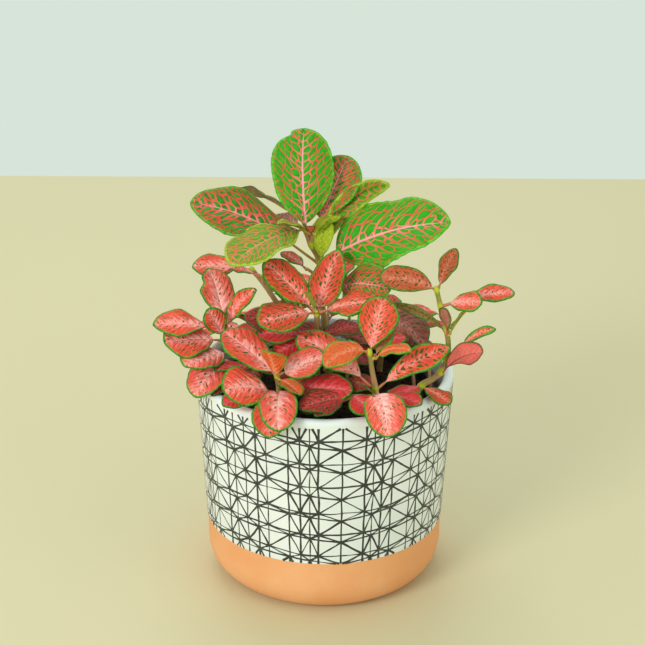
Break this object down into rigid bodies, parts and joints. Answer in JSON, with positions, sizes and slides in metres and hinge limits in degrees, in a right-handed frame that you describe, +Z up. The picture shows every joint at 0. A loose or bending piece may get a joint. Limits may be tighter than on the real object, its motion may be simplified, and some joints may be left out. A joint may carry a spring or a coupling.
{
  "type": "potted nerve plant",
  "caption": "Bushy nerve plant with net-veined green, coral and pink leaves in a tapered white-glazed ceramic pot with a dark line net over a bare clay foot.",
  "frame": {"origin": "centre of the ceramic pot's flat underside", "axes": "+Z up along the pot's axis, -Y towards the viewer, +X to the viewer's right"},
  "size_m": [0.1706, 0.1455, 0.2153],
  "materials": {
    "glaze": "gloss",
    "black_plastic": "satin",
    "soil": "matte",
    "stem": "satin",
    "green_leaf": "satin",
    "coral_leaf": "satin"
  },
  "bodies": {
    "root": {"back_left_leaf_1": "coral_leaf", "back_left_stem": "stem", "back_right_leaf_1": "coral_leaf", "back_right_stem": "stem", "ceramic_pot": "glaze", "crown_leaf_1": "green_leaf", "crown_leaf_2": "green_leaf", "crown_leaf_3": "green_leaf", "crown_leaf_4": "green_leaf", "crown_leaf_5": "green_leaf", "crown_leaf_6": "green_leaf", "crown_leaf_7": "green_leaf", "crown_stem": "stem", "front_left_leaf_1": "coral_leaf", "front_left_leaf_2": "coral_leaf", "front_left_leaf_3": "coral_leaf", "front_left_leaf_4": "coral_leaf", "front_left_leaf_5": "coral_leaf", "front_left_stem": "stem", "front_right_leaf_1": "coral_leaf", "front_right_leaf_2": "coral_leaf", "front_right_leaf_3": "coral_leaf", "front_right_leaf_4": "coral_leaf", "front_right_leaf_5": "coral_leaf", "front_right_stem": "stem", "left_leaf_1": "coral_leaf", "left_leaf_2": "coral_leaf", "left_leaf_3": "coral_leaf", "left_leaf_4": "coral_leaf", "left_leaf_5": "coral_leaf", "left_leaf_6": "coral_leaf", "left_stem": "stem", "middle_leaf_1": "coral_leaf", "middle_leaf_2": "coral_leaf", "middle_leaf_3": "coral_leaf", "middle_leaf_4": "coral_leaf", "middle_leaf_5": "coral_leaf", "middle_leaf_6": "coral_leaf", "middle_stem": "stem", "nursery_pot": "black_plastic", "rear_leaf_1": "coral_leaf", "rear_leaf_2": "coral_leaf", "rear_leaf_3": "coral_leaf", "rear_leaf_4": "coral_leaf", "rear_left_leaf_1": "coral_leaf", "rear_left_leaf_2": "coral_leaf", "rear_left_leaf_3": "coral_leaf", "rear_left_stem": "stem", "rear_stem": "stem", "right_leaf_1": "coral_leaf", "right_leaf_2": "coral_leaf", "right_leaf_3": "coral_leaf", "right_leaf_4": "coral_leaf", "right_leaf_5": "coral_leaf", "right_leaf_6": "coral_leaf", "right_leaf_7": "coral_leaf", "right_leaf_8": "coral_leaf", "right_leaf_9": "coral_leaf", "right_stem": "stem", "soil": "soil"}
  },
  "joints": []
}
